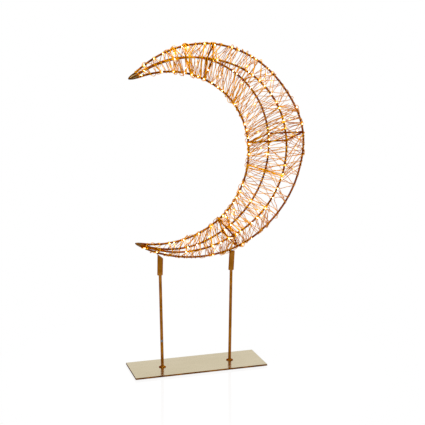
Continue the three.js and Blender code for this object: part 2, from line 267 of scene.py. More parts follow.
# Lacquered steels: dark, middle and light colour, the tint of what they mirror at a low angle, lowest
# and highest roughness, and how close the drawing lines are along each axis
lacquers = {
    "rodMetal": ((110, 64, 11), (138, 85, 19), (168, 112, 42), (226, 160, 90), (0.24, 0.38), (700, 700, 25)),
    "collarMetal": ((62, 32, 2), (112, 66, 8), (206, 150, 50), (200, 140, 60), (0.16, 0.3), [300] * 3),
    "wireMetal": ((82, 34, 0), (126, 60, 0), (172, 94, 2), (160, 76, 4), (0.28, 0.42), [160] * 3),
    # painted shade: a darker copy of the wire lacquer for the tips' ridges, standing in for the shade along
    # the tips' outlines
    "shadedPointMetal": ((54, 26, 0), (84, 46, 4), (120, 76, 14), (110, 60, 10), (0.28, 0.42), [160] * 3),
    "weldMetal": ((84, 66, 38), (126, 104, 66), (196, 176, 138), (200, 180, 140), (0.3, 0.5), [420] * 3),
    # painted shade: a darker lacquer for the base plate's cut sides, standing in for the shade on them
    "shadedEdgeMetal": ((72, 38, 0), (104, 60, 0), (144, 92, 10), (130, 80, 20), (0.3, 0.45), (25, 700, 700)),
}


def lacqueredBronze(name):
    # gold-brown lacquer on steel, with faint drawing lines and small worn patches
    dark, middle, light, tint, roughness, stretch = lacquers[name]
    material, tree, shader = newMaterial(name)
    lines = noise(tree, stretch, 1.0, 5.0, 0.6)
    patches = noise(tree, even, 60.0, 3.0)
    mixed = maths(tree, "MULTIPLY_ADD", lines, 0.4, patches)
    setInputs(tree, shader, {
        "Metallic": 1.0,
        "Specular Tint": srgb(*tint),
        "Base Color": ramp(tree, mixed, [(0.45, dark), (0.7, middle), (0.95, light)]),
        "Roughness": spread(tree, patches, roughness),
        "Normal": bump(tree, lines, 0.15),
    })
    return material


def brushedGold():
    # pale gold sheet with a fine satin finish, brushed along X
    material, tree, shader = newMaterial("brushedGold")
    streaks = noise(tree, (6, 900, 900), 1.0, 6.0, 0.6)
    clouds = noise(tree, even, 14.0, 3.0)
    tangent = tree.nodes.new("ShaderNodeTangent")
    tangent.direction_type = "UV_MAP"
    tangent.uv_map = "brushing"
    setInputs(tree, shader, {
        "Metallic": 1.0,
        "Anisotropic": 0.2,
        "Base Color": ramp(tree, maths(tree, "MULTIPLY_ADD", clouds, 0.35, streaks), [
            (0.35, (186, 172, 136)), (0.65, (198, 184, 150)), (0.95, (208, 195, 164)),
        ]),
        "Roughness": spread(tree, streaks, (0.14, 0.26)),
        "Tangent": tangent.outputs["Tangent"],
        "Normal": bump(tree, streaks, 0.1),
    })
    return material


def copperWire():
    # enamelled copper, with a painted gold glow beside each light that stands in for the light the lights
    # cast on it
    material, tree, shader = newMaterial("copperWire")
    twist = noise(tree, even, 90.0, 3.0)
    paintedLightGlow = tree.nodes.new("ShaderNodeAttribute")
    paintedLightGlow.attribute_name = "paintedLightGlow"
    setInputs(tree, shader, {
        "Metallic": 0.7,
        "Specular Tint": srgb(205, 128, 30),
        "Base Color": ramp(tree, twist, [(0.3, (188, 116, 2)), (0.5, (216, 146, 8)), (0.7, (240, 178, 30))]),
        "Roughness": spread(tree, twist, (0.22, 0.38)),
        # painted light: the emission beside each light stands in for the lights' glow falling on the wire
        "Emission Color": ramp(tree, paintedLightGlow.outputs["Fac"], [
            (0.0, (0, 0, 0)), (0.3, (112, 62, 0)), (1.0, (250, 184, 50)),
        ]),
        "Emission Strength": 1.0,
        "Normal": bump(tree, twist, 0.2),
    })
    return material


def amberDrop():
    # the resin round each light: thin, amber, and faintly lit all through
    material, tree, shader = newMaterial("amberDrop")
    ripples = noise(tree, even, 500.0, 2.0)
    setInputs(tree, shader, {
        "Alpha": 0.4,
        "IOR": 1.5,
        "Base Color": ramp(tree, ripples, [(0.35, (255, 190, 66)), (0.65, (255, 214, 116))]),
        "Roughness": spread(tree, ripples, (0.08, 0.18)),
        "Emission Color": ramp(tree, ripples, [(0.35, (255, 184, 44)), (0.65, (255, 214, 100))]),
        "Emission Strength": 0.9,
    })
    return material


def hotChip():
    # the lit chip in the middle of each light
    material, tree, shader = newMaterial("hotChip")
    specks = noise(tree, even, 800.0, 1.0)
    setInputs(tree, shader, {
        "Base Color": srgb(255, 240, 205),
        "Roughness": 0.4,
        "Emission Color": ramp(tree, specks, [(0.3, (255, 226, 160)), (0.7, (255, 238, 192))]),
        "Emission Strength": 14.0,
    })
    return material


def platedSteel():
    material, tree, shader = newMaterial("platedSteel")
    grain = noise(tree, (1, 1, 6), 300.0, 3.0)
    setInputs(tree, shader, {
        "Metallic": 1.0,
        "Base Color": ramp(tree, grain, [(0.3, (84, 92, 96)), (0.7, (124, 132, 138))]),
        "Roughness": spread(tree, grain, (0.22, 0.38)),
    })
    return material


def foamSheet():
    material, tree, shader = newMaterial("foamSheet")
    cells = noise(tree, even, 900.0, 2.0)
    setInputs(tree, shader, {
        "Specular IOR Level": 0.3,
        "Base Color": ramp(tree, cells, [(0.35, (30, 18, 8)), (0.65, (52, 36, 18))]),
        "Roughness": spread(tree, cells, (0.8, 0.95)),
        "Normal": bump(tree, cells, 0.4, 0.3 * mm),
    })
    return material


plateMetal = brushedGold()
rodMetal, collarMetal, wireMetal, shadedPointMetal, weldMetal, shadedEdgeMetal = map(lacqueredBronze, lacquers)
stringMetal = copperWire()
dropResin = amberDrop()
dropChip = hotChip()
screwMetal = platedSteel()
padFoam = foamSheet()
print("materials made")


# The crescent's four wires, read from the frame: the centre of each ring of the solid's tube,
# with its angle round the crescent

wireNodes = {"outer": "outer_rim", "front": "front_rib", "inner": "inner_rim", "rear": "rear_rib"}
cornerNames = list(wireNodes)
ringGap = 1.2  # degrees; a wider gap parts one ring of the solid from the next


def placesOf(node):
    # where a solid's vertices are, each place once
    places = np.array([v.co[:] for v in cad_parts[node].data.vertices])
    return np.unique(np.round(places, 6), axis=0)


def angleOf(x, z):
    return degrees(atan2(z - moonCentre.z, x - moonCentre.x))


def ringCentres(node):
    places = placesOf(node)
    angles = np.array([angleOf(x, z) for x, _, z in places])
    order = np.argsort(-angles)
    places, angles = places[order], angles[order]
    cuts = np.where(-np.diff(angles) > ringGap)[0] + 1
    centres = [group.mean(axis=0) for group in np.split(places, cuts)]
    return np.array([angleOf(x, z) for x, _, z in centres]), np.array(centres)


wireTables = {key: ringCentres(node) for key, node in wireNodes.items()}
wireEnds = (wireTables["outer"][0][0], wireTables["outer"][0][-1])
rimRadius = (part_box("outer_rim")[1].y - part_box("outer_rim")[0].y) / 2


def wirePoint(key, angle):
    # smooth point of a wire at an angle round the crescent
    turns, centres = wireTables[key]
    row = int(np.clip(np.searchsorted(-turns, -angle) - 1, 0, len(turns) - 2))
    share = (angle - turns[row]) / (turns[row + 1] - turns[row])
    b, c = centres[row], centres[row + 1]
    a = centres[row - 1] if row > 0 else 2 * b - c
    d = centres[row + 2] if row + 2 < len(centres) else 2 * c - b
    bend = (a - 2 * b + c) * share * (1 - share) ** 2 + (b - 2 * c + d) * share ** 2 * (1 - share)
    return Vector(b + (c - b) * share - bend / 2)


def outward(angle):
    return Vector((cos(radians(angle)), 0, sin(radians(angle))))


def alongWires(angle):
    return outward(angle).cross(Vector((0, 1, 0)))


print("wires read from the frame:", {key: len(table[0]) for key, table in wireTables.items()})


# Rims and ribs

rimSettings = {
    "steps": 260,
    "sides": 16,
    "overlap": 1.5 * mm,  # how far the ends run into the tips
    "radius": 1.8 * mm,
}


def pastEnd(before, end):
    return end + (end - before).normalized() * rimSettings["overlap"]


def makeRims():
    for key, node in wireNodes.items():
        turns = wireTables[key][0]
        points = [wirePoint(key, angle) for angle in np.linspace(turns[0], turns[-1], rimSettings["steps"])]
        points.insert(0, pastEnd(points[1], points[0]))
        points.append(pastEnd(points[-2], points[-1]))
        shape = sweep(points, [rimSettings["radius"]] * len(points), rimSettings["sides"], (0, 1, 0))
        makePiece(node + "_wire", shape, wireMetal, "moon", "frame_wire", node)


makeRims()
print("rims and ribs made")


# Braces, each a rod that spreads into a weld at both ends

braceSettings = {
    "levels": ["upper", "middle", "lower"],
    "radius": 1.5 * mm,
    "inset": 0.6 * mm,  # each end goes a rim's radius and this further than the solid's
    "weldRadius": 0.7 * mm,  # how much wider the ends are
    "weldLength": 1.6 * mm,  # over which they narrow
    "steps": 24,
    "sides": 14,
}


def rodEnds(node):
    # centres of a straight rod's two ends
    verts = placesOf(node)
    middle = verts.mean(axis=0)
    far = verts[np.argmax(np.linalg.norm(verts - middle, axis=1))] - middle
    side = (verts - middle) @ far > 0
    return Vector(verts[side].mean(axis=0)), Vector(verts[~side].mean(axis=0))


def makeBrace(node):
    start, end = rodEnds(node)
    reach = (end - start).normalized() * (rimRadius + braceSettings["inset"])
    start, end = start - reach, end + reach
    length = (end - start).length
    points, radii = [], []
    for k in range(braceSettings["steps"] + 1):
        share = 0.5 - 0.5 * cos(pi * k / braceSettings["steps"])
        away = min(share, 1 - share) * length - rimRadius
        weld = exp(-max(away, 0) / braceSettings["weldLength"])
        points.append(start.lerp(end, share))
        radii.append(braceSettings["radius"] + braceSettings["weldRadius"] * weld)
    shape = sweep(points, radii, braceSettings["sides"], (0, 1, 0))
    makePiece(node + "_rod", shape, wireMetal, "moon", "frame_wire", node)


for level in braceSettings["levels"]:
    for place in ["front_outer", "front_inner", "rear_outer", "rear_inner"]:
        makeBrace(f"{level}_{place}_brace")
print("braces made")


# Tips: the four wires close in on a point, with weld metal filled in between them

tipSettings = {
    "steps": 26,
    "stepsLeft": 0.6,  # how much of a step before the very point it ends
    "sides": 48,
    "startBack": 2.5 * mm,  # how far behind the wires' ends it starts
    "halfDepth": 3.4 * mm,
    "fill": 0.84,  # size of the filling, as a share of the outline of the wires
    "hollow": 0.12,  # how far the filling sinks between the wires
    "roundness": 1.7,
    "ripple": 0.25 * mm,
    "pointInset": (0.5 * mm, 1.6 * mm),  # from the left and the near edge of the solid's box
    "pointRadius": 0.9 * mm,
    "upperReach": 1.6 * mm,  # how far the upper point goes on past the solid's
    "ridgeSides": 12,
    "sharpAngle": 50,
}


def makeTip(name, node, angle, sign):
    low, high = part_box(node)
    radial, depthwise = outward(angle), Vector((0, 1, 0))
    halfDepth, pointRadius = tipSettings["halfDepth"], tipSettings["pointRadius"]
    centre = (wirePoint("outer", angle) + wirePoint("inner", angle)) / 2
    halfHeight = (wirePoint("outer", angle) - wirePoint("inner", angle)).length / 2 + rimRadius
    leftInset, edgeInset = tipSettings["pointInset"]
    apex = Vector((low.x + leftInset, 0, low.z + edgeInset if sign > 0 else high.z - edgeInset))
    if sign > 0:
        apex += (apex - centre).normalized() * tipSettings["upperReach"]
    start = centre - (apex - centre).normalized() * tipSettings["startBack"]
    sides, steps, power = tipSettings["sides"], tipSettings["steps"], tipSettings["roundness"]
    shares = [sin(pi / 2 * k / (steps + tipSettings["stepsLeft"])) for k in range(steps + 1)]
    sizes = [(1 - share ** power) ** (1 / power) for share in shares]
    blobRng = random.Random(node)
    verts = []
    for share, size in zip(shares, sizes):
        middle = start.lerp(apex, share)
        for n in range(sides):
            turn = sign * 2 * pi * n / sides
            reach = size * tipSettings["fill"] * (1 - tipSettings["hollow"] * (1 - cos(4 * turn)) / 2)
            ripple = blobRng.uniform(-1, 1) * tipSettings["ripple"] * share * (1 - share)
            verts.append(middle + radial * (halfHeight * reach + ripple) * cos(turn)
                         + depthwise * (halfDepth * reach + ripple) * sin(turn))
    filling = (verts, ringFaces(steps + 1, sides))
    radii = [pointRadius + (rimRadius - pointRadius) * size for size in sizes]
    ridges = []
    for way, reach in [(radial, halfHeight), (-radial, halfHeight),
                       (depthwise, halfDepth), (-depthwise, halfDepth)]:
        points = [start.lerp(apex, share) + way * max(reach * size - radius, 0)
                  for share, size, radius in zip(shares, sizes, radii)]
        ridges.append(sweep(points, radii, tipSettings["ridgeSides"], tuple(way)))
    piece = makeObject(name, *joinParts([filling] + ridges), weldMetal)
    # the ridges take the darker lacquer: painted shade along the tip's outline
    secondMaterial(piece, shadedPointMetal, len(filling[1]))
    sharpen(piece, tipSettings["sharpAngle"])
    finishPiece(piece, "moon", "frame_wire", node)


makeTip("upper_tip_weld", "upper_tip_cap", wireEnds[0], 1)
makeTip("lower_tip_weld", "lower_tip_cap", wireEnds[1], -1)
print("tips made")


# Stand: posts, collars, sleeves and their plugs, all turned about the posts' axes

turnedSides = 48


def vertsAt(node, height):
    return [v.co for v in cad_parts[node].data.vertices if abs(v.co.z - height) < sameHeight]


def levelRing(node, height):
    # x of the middle and radius of a solid's ring of vertices at a height
    xs = [v.x for v in vertsAt(node, height)]
    return (max(xs) + min(xs)) / 2, (max(xs) - min(xs)) / 2


def axisOf(side):
    # the post's foot, how far it leans for each metre of height, and its radius
    low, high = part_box(f"{side}_post")
    footX, radius = levelRing(f"{side}_post", low.z)
    topX, _ = levelRing(f"{side}_post", high.z)
    return {"x": footX, "z": low.z, "slope": (topX - footX) / (high.z - low.z), "radius": radius}


axes = {side: axisOf(side) for side in ["left", "right"]}


def makeTurned(name, side, shape, material, body, node):
    # moves a turned shape over the post's foot and leans it as the post leans
    axis = axes[side]
    verts, faces = shape
    for v in verts:
        v.x += axis["x"] + axis["slope"] * (v.z - axis["z"])
    makePiece(f"{side}_{name}", (verts, faces), material, body, "stand_rod", node)


postSettings = {"rows": 40, "round": 0.5 * mm, "roundSteps": 6}


def makePost(side):
    node = f"{side}_post"
    low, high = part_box(node)
    radius, soft, rows = axes[side]["radius"], postSettings["round"], postSettings["rows"]
    profile = [(0, low.z)]
    profile += [(radius, low.z + (high.z - soft - low.z) * k / rows) for k in range(rows)]
    for k in range(postSettings["roundSteps"] + 1):
        turn = pi / 2 * k / postSettings["roundSteps"]
        profile.append((radius - soft + soft * cos(turn), high.z - soft + soft * sin(turn)))
    profile.append((0, high.z))
    makeTurned("post_rod", side, lathe(profile, turnedSides), rodMetal, "stand", node)


collarSettings = {
    "sliver": 0.02 * mm,  # between the post and the collar
    "rim": 0.8 * mm,  # height of the flat disc
    "round": 0.25 * mm,
    "topEdge": [(0, 1), (0.4, 0.3), (1.2, 0)],  # the round of the disc's top, as shares inwards and down
    "cone": 4.4 * mm,  # radius at the cone's foot
    "lip": 0.3 * mm,  # thickness at the cone's top
    "hollow": 0.6,
    "steps": 8,
}


def makeCollar(side):
    # a flat disc from which a hollow-sided cone runs up the post
    node = f"{side}_post_collar"
    low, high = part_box(node)
    disc = (high.x - low.x) / 2
    post = axes[side]["radius"] + collarSettings["sliver"]
    rim, soft, cone, steps = (collarSettings[key] for key in ["rim", "round", "cone", "steps"])
    profile = [(post, low.z), (disc - soft, low.z), (disc, low.z + soft)]
    for inwards, down in collarSettings["topEdge"]:
        profile.append((disc - soft * inwards, low.z + rim - soft * down))
    for k in range(steps + 1):
        share = k / steps
        radius = cone + (post + collarSettings["lip"] - cone) * share ** collarSettings["hollow"]
        profile.append((radius, low.z + rim + (high.z - low.z - rim) * share))
    profile.append((post, high.z))
    makeTurned("foot_collar", side, lathe(profile, turnedSides), collarMetal, "stand", node)


sleeveSettings = {
    "round": 0.3 * mm,
    "rows": 12,
    # how far the outside leans to the right at the bottom and at the top
    "lean": {"left": (-0.3 * mm, 1.1 * mm), "right": (-0.2 * mm, 1.2 * mm)},
    "slanted": "left",  # the one whose top is cut on the slant
    "lipWidth": 0.1,  # share of the radius in which the slant's low end is looked for
}


def makeSleeve(side):
    node = f"{side}_sleeve"
    low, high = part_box(node)
    middle = Vector((levelRing(node, low.z)[0], 0, low.z))
    reaches = [(v - middle).length for v in vertsAt(node, low.z)]
    outer, bore = max(reaches), min(reaches)
    soft, rows = sleeveSettings["round"], sleeveSettings["rows"]
    profile = [(bore, low.z + soft), (bore + soft, low.z), (outer - soft, low.z), (outer, low.z + soft)]
    profile += [(outer, low.z + soft + (high.z - low.z - 2 * soft) * k / rows) for k in range(1, rows + 1)]
    profile += [(outer - soft, high.z), (bore + soft, high.z), (bore, high.z - soft)]
    verts, faces = lathe(profile, turnedSides)
    lowLean, highLean = sleeveSettings["lean"][side]
    for v in verts:
        share = (v.z - low.z) / (high.z - low.z)
        depth = (hypot(v.x, v.y) - bore) / (outer - bore)
        v.x += depth * (lowLean + (highLean - lowLean) * share)
    if side == sleeveSettings["slanted"]:
        solidVerts = [v.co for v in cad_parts[node].data.vertices]
        rightEdge = max(v.x for v in solidVerts)
        lip = max(v.z for v in solidVerts if v.x > rightEdge - sleeveSettings["lipWidth"] * outer)
        for v in verts:
            top = high.z - (high.z - lip) * (v.x / outer + 1) / 2
            v.z = low.z + (top - low.z) * (v.z - low.z) / (high.z - low.z)
    makeTurned("sleeve_tube", side, (verts, faces), rodMetal, "moon", node)


plugSettings = {"round": 0.4 * mm, "dimple": 0.4, "sides": 32}


def makePlug(side):
    # a disc with a shallow dimple in its top
    node = f"{side}_sleeve_plug"
    low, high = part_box(node)
    soft = plugSettings["round"]
    radius = levelRing(node, low.z)[1]
    profile = [(0, low.z), (radius - soft, low.z), (radius, low.z + soft), (radius, high.z - soft),
               (radius - soft, high.z), (radius * plugSettings["dimple"], high.z), (0, high.z - soft)]
    makeTurned("plug_disc", side, lathe(profile, plugSettings["sides"]), wireMetal, "moon", node)


weldSettings = {
    "radius": 1.5 * mm,
    "stretch": (1.3, 1, 0.75),  # its size along each axis, for a radius of 1
    "ripple": 0.05,
    "inset": 1.2 * mm,  # from the sleeve's left edge
    "rings": 13,
    "sides": 20,
}


def rimAngleAbove(x):
    # where the lower half of the outer rim passes over a place on the X axis, found by halving
    low, high = wireEnds[1], 0.0
    for _ in range(40):
        middle = (low + high) / 2
        if wirePoint("outer", middle).x < x:
            low = middle
        else:
            high = middle
    return (low + high) / 2


def makeSleeveWeld(side):
    # a blob where the sleeve's high edge meets the rim
    low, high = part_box(f"{side}_sleeve")
    x = low.x + weldSettings["inset"]
    rim = wirePoint("outer", rimAngleAbove(x))
    centre = Vector((x, 0, (rim.z - rimRadius + high.z) / 2))
    rings, sides, stretch = (weldSettings[key] for key in ["rings", "sides", "stretch"])
    blobRng = random.Random(side)
    verts = []
    for k in range(rings):
        lift = pi * k / (rings - 1)
        for n in range(sides):
            turn = 2 * pi * n / sides
            size = weldSettings["radius"] * (1 + blobRng.uniform(-1, 1) * weldSettings["ripple"])
            verts.append(centre + Vector((stretch[0] * size * sin(lift) * cos(turn),
                                          stretch[1] * size * sin(lift) * sin(turn),
                                          -stretch[2] * size * cos(lift))))
    piece = makeObject(f"{side}_sleeve_weld", verts, ringFaces(rings, sides, capped=False), wireMetal)
    mergeClose(piece)
    finishPiece(piece, "moon", "frame_wire")


markSettings = {
    "height": 55.2 * mm,
    "radius": 2.2 * mm,
    "turn": -100.0,  # degrees from the right; it faces the front and slightly left
    "sunk": 0.3 * mm,
    "sides": 20,
    # share of the radius, and height, up to the middle of the domed head
    "profile": [(0, 0), (1, 0), (1, 0.35 * mm), (0.92, 0.5 * mm), (0.75, 0.63 * mm), (0.4, 0.672 * mm),
                (0, 0.72 * mm)],
}


def makeMark():
    # a small screw's end in the left post, which the photo shows as a bluish grey spot
    axis, height = axes["left"], markSettings["height"]
    turn = radians(markSettings["turn"])
    out = Vector((cos(turn), sin(turn), 0))
    centre = Vector((axis["x"] + axis["slope"] * (height - axis["z"]), 0, height))
    centre += out * (axis["radius"] - markSettings["sunk"])
    profile = [(markSettings["radius"] * share, rise) for share, rise in markSettings["profile"]]
    verts, faces = lathe(profile, markSettings["sides"])
    spin = out.to_track_quat("Z", "Y")
    makePiece("left_post_screw", ([centre + spin @ v for v in verts], faces), screwMetal, "stand", "screw")


makeMark()
for side in ["left", "right"]:
    makePost(side)
    makeCollar(side)
    makeSleeve(side)
    makePlug(side)
    makeSleeveWeld(side)
    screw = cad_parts[f"{side}_base_screw"]
    screw.data.materials.clear()
    screw.data.materials.append(screwMetal)
print("stand made")


# Base plate and pad

plateSettings = {
    "topEdge": 0.15 * mm,
    "lowEdge": 0.05 * mm,
    "edgeSteps": 3,
    "longEdge": 0.02,  # only edges longer than this are rounded, not those of the holes
    "sharpEdge": 60,  # degrees between its two faces, at least
    "sheetAngle": 5,  # degrees over which its edges look sharp
    "flatFace": 0.97,  # faces that look less than this up or down are the cut sides
    "mapScale": 4.0,
}


def copyOf(node, name, material):
    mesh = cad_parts[node].data.copy()
    mesh.materials.clear()
    mesh.materials.append(material)
    return addObject(name, mesh)


def roundEdges(piece, width, isWanted):
    # rounds the long sharp edges whose height passes the test
    work = bmesh.new()
    work.from_mesh(piece.data)
    bmesh.ops.remove_doubles(work, verts=work.verts, dist=samePlace)
    bmesh.ops.dissolve_limit(work, angle_limit=radians(1), verts=work.verts, edges=work.edges)
    least = radians(plateSettings["sharpEdge"])
    edges = [e for e in work.edges if len(e.link_faces) == 2 and e.calc_face_angle() > least]
    edges = [e for e in edges if e.calc_length() > plateSettings["longEdge"]]
    edges = [e for e in edges if isWanted((e.verts[0].co.z + e.verts[1].co.z) / 2)]
    bmesh.ops.bevel(work, geom=edges, offset=width, segments=plateSettings["edgeSteps"], profile=0.5,
                    affect="EDGES")
    work.to_mesh(piece.data)
    work.free()
    sharpen(piece, plateSettings["sheetAngle"])


def brushingMap(piece):
    # U runs across the plate, the way in which its brushed grooves spread the light
    layer = piece.data.uv_layers.new(name="brushing")
    scale = plateSettings["mapScale"]
    for loop in piece.data.loops:
        place = piece.data.vertices[loop.vertex_index].co
        layer.data[loop.index].uv = ((place.y + place.z) * scale + 0.5, place.x * scale + 0.5)


def makePlate():
    low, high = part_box("base_plate")
    middle = (low.z + high.z) / 2
    plate = copyOf("base_plate", "base_plate_sheet", plateMetal)
    roundEdges(plate, plateSettings["topEdge"], lambda z: z > middle)
    roundEdges(plate, plateSettings["lowEdge"], lambda z: z < middle)
    plate.data.materials.append(shadedEdgeMetal)
    for face in plate.data.polygons:  # painted shade: the cut sides are darker than the top
        if abs(face.normal.z) < plateSettings["flatFace"]:
            face.material_index = 1
    brushingMap(plate)
    finishPiece(plate, "stand", "plate", "base_plate")


def makePad():
    pad = copyOf("base_pad", "base_pad_sheet", padFoam)
    roundEdges(pad, plateSettings["lowEdge"], lambda z: True)
    finishPiece(pad, "stand", "foot_pad", "base_pad")


makePlate()
makePad()
print("base made")


# Light string: one wire, wound round the crescent's four wires, down from the upper tip and then
# more loosely back up

stringSettings = {
    "radius": 0.57 * mm,
    "sides": 6,
    "cornerCut": 0.28,  # share of each straight run by which its bends are softened
    "ends": (126.2, -122.6),  # degrees round the crescent
    # turns for each degree round the crescent, from the upper tip to the lower one
    "density": [(126, 0.35), (118, 0.55), (112, 0.8), (100, 1.0), (88, 1.15), (79, 0.7), (68, 1.05),
                (56, 0.9), (44, 0.46), (20, 0.46), (8, 0.64), (-8, 0.62), (-20, 0.5), (-40, 0.48),
                (-52, 0.64), (-66, 0.78), (-80, 0.7), (-92, 0.68), (-103, 0.7), (-110, 0.5), (-116, 0.35),
                (-121, 0.2)],
    # each pass: its share of all turns, and how much it slants
    "passes": [(0.6, 0.9), (0.4, 1.3)],
    "closeShare": 0.5,  # turns that follow close on the one before
    "closePitch": (0.15, 0.5),
    "widePitch": (1.0, 2.35),
    # degrees that a crossing may be moved along its wire, for each metre between the rims there
    "slant": 75.0,
    "slantTurns": (3, 8),  # turns that lean the same way
    "slantChange": 0.4,  # share of the way to the new slant that each turn goes
    "gatherSpacing": (3.0, 8.0),  # degrees between the spots on a wire where turns gather
    "gather": 0.45,  # share of the way to such a spot that a crossing is drawn
    "wildShare": 0.12,  # crossings that don't gather
    "wildShift": 4.0,
    "jitter": 0.4,
    "sleeveGap": 2.4,  # degrees kept free on both sides of a sleeve
    "sleeveSpread": 0.5,
    "seed": 19,
}

# How the string runs over a side and bends over a wire
bendSettings = {
    "wobble": 1.1 * mm,
    "wobbleRun": 0.04,  # metres; shorter runs wobble less
    "bulge": (-0.4, 1.2),
    "shake": 0.5,
    "kinkSpacing": 6.0 * mm,
    "kinks": (2, 9),
    "lift": 0.05 * mm,  # how far it clears the wires that it lies on
    "stepAlong": 1.2 * mm,  # how far it moves along a wire while it bends over it
    "wrapShare": 0.16,  # bends that go once more round the wire
    "shortWay": 1.2,  # radians; to a light further round, it goes all the way round
    "looseShare": 0.3,  # bends that stand off their wire and slant over it
    "looseReach": (0.4 * mm, 4.0 * mm),
    "looseSlant": (1.5 * mm, 6.0 * mm),
    "curlShare": 0.05,  # bends that make a small loop
    "curlRadius": (0.8 * mm, 1.6 * mm),
    "curlTilt": 0.8,
    "curlStart": (200, 260),  # degrees
    "curlTurn": (220, 400),
    "curlSteps": 6,
}

# Lights: amber drops on the string, each with a lit chip, mostly where it bends over a wire
beadSettings = {
    "drop": {"radius": 1.2 * mm, "length": 3.8 * mm, "mouth": 0.64 * mm, "rings": 8, "sides": 12},
    "chip": {"radius": 0.75 * mm, "length": 2.3 * mm, "mouth": 0.2 * mm, "rings": 5, "sides": 8},
    "bluntness": 0.8,
    "lift": 1.0 * mm,  # how far a light holds the string off the wire under it
    "first": 0.02,  # metres of string before the first light
    "spacing": (0.03, 0.08),  # metres of string before the next light may come
    "apart": 8.5 * mm,
    # where the next light goes: on one of the four wires, or on a side between them
    "places": [0] * 3 + [1] * 3 + [2] * 3 + [3] * 2 + ["side"] * 4,
    "groups": 24,
    "paintedGlowReach": 4.2 * mm,  # how far from a light the string carries its painted glow, which stands in for the light falling on it
}
rng = random.Random(stringSettings["seed"])


def centreOf(node):
    low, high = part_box(node)
    return (low + high) / 2


beadCentres = [centreOf(f"light_bead_{n + 1:02d}") for n in range(beadSettings["groups"])]
sleeveAngles = [rimAngleAbove(levelRing(f"{side}_sleeve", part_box(f"{side}_sleeve")[0].z)[0])
                for side in ["left", "right"]]


def mostlyLow(limits):
    # a random value between two limits, more often near the lower one
    low, high = limits
    return low + (high - low) * rng.random() ** 2


def gatherSpots():
    # angles on a wire at which turns of the string gather
    spots, angle = [], stringSettings["ends"][0]
    while angle > stringSettings["ends"][1]:
        spots.append(angle)
        angle -= rng.uniform(*stringSettings["gatherSpacing"])
    return spots


spotsOn = [gatherSpots() for _ in cornerNames]


def clearOfSleeves(angle):
    gap = stringSettings["sleeveGap"]
    for sleeve in sleeveAngles:
        away = angle - sleeve
        if abs(away) < gap:
            return sleeve + copysign(gap + rng.uniform(0, stringSettings["sleeveSpread"]), away)
    return angle


def withinEnds(corner, angle):
    first, last = stringSettings["ends"]
    angle = min(first, max(last, angle))
    return clearOfSleeves(angle) if corner == 0 else angle


def sideNormal(angle, corner):
    # the way out of the crescent across the side that follows a corner
    edge = wirePoint(cornerNames[(corner + 1) % 4], angle) - wirePoint(cornerNames[corner % 4], angle)
    return alongWires(angle).cross(edge).normalized()


def insideBox(point, margins):
    low, high = cadBox
    return Vector(max(low[k] + margins[k], min(high[k] - margins[k], point[k])) for k in range(3))


def turnsOfPass(share, slantScale):
    # each turn as the angle where it starts and how far its crossing of each wire is moved
    places, values = zip(*[(-place, value) for place, value in stringSettings["density"]])
    angle, last = stringSettings["ends"]
    shifts, goals, turnsLeft = [0.0] * 4, [0.0] * 4, 0
    change = stringSettings["slantChange"]
    turns = []
    while angle > last:
        if turnsLeft == 0:
            slant = (wirePoint("outer", angle) - wirePoint("inner", angle)).length
            slant *= stringSettings["slant"] * slantScale
            goals = [rng.uniform(-slant, slant) for _ in cornerNames]
            turnsLeft = rng.randint(*stringSettings["slantTurns"])
        turnsLeft -= 1
        shifts = [shift + (goal - shift) * change for shift, goal in zip(shifts, goals)]
        turns.append((angle, shifts))
        pitch = "closePitch" if rng.random() < stringSettings["closeShare"] else "widePitch"
        angle -= rng.uniform(*stringSettings[pitch]) / (share * np.interp(-angle, places, values))
    return turns


def crossings():
    # every bend of the string over a wire, as [which wire, angle]
    found = []
    for index, (share, slantScale) in enumerate(stringSettings["passes"]):
        turns = turnsOfPass(share, slantScale)
        order = [0, 1, 2, 3]
        if index % 2:
            turns.reverse()
            order = [0, 3, 2, 1]
        for k, (start, shifts) in enumerate(turns):
            following = turns[k + 1][0] if k + 1 < len(turns) else start
            for quarter, corner in enumerate(order):
                angle = start + (following - start) * quarter / 4 + shifts[corner]
                if rng.random() < stringSettings["wildShare"]:
                    angle += rng.uniform(-1, 1) * stringSettings["wildShift"]
                else:
                    spot = min(spotsOn[corner], key=lambda place: abs(place - angle))
                    angle += (spot - angle) * stringSettings["gather"]
                angle += rng.uniform(-1, 1) * stringSettings["jitter"]
                found.append([corner, withinEnds(corner, angle)])
    return found


def passThroughBeads(found):
    # the string passes the place of each light that the frame holds
    for n, bead in enumerate(beadCentres):
        sidePair = {(n + 1) % 4, (n + 2) % 4}
        angle = angleOf(bead.x, bead.z)
        spots = [k for k in range(len(found) - 1) if {found[k][0], found[k + 1][0]} == sidePair]
        best = min(spots, key=lambda k: abs((found[k][1] + found[k + 1][1]) / 2 - angle))
        shift = angle - (found[best][1] + found[best + 1][1]) / 2
        for row in (found[best], found[best + 1]):
            row[1] = withinEnds(row[0], row[1] + shift)


def sidePoints(start, end, normal):
    # the string's slightly slack run over a side, without its ends
    length = (end - start).length
    wobble = bendSettings["wobble"] * min(1.0, length / bendSettings["wobbleRun"])
    fewest, most = bendSettings["kinks"]
    steps = max(fewest, min(most, int(length / bendSettings["kinkSpacing"])))
    drift = Vector(rng.uniform(-1, 1) for _ in range(3)) * wobble
    drift += normal * wobble * rng.uniform(*bendSettings["bulge"])
    points = []
    for n in range(1, steps):
        share = n / steps
        shake = Vector(rng.gauss(0, bendSettings["shake"]) for _ in range(3)) * wobble
        points.append(start.lerp(end, share) + drift * 4 * share * (1 - share) + shake)
    return points


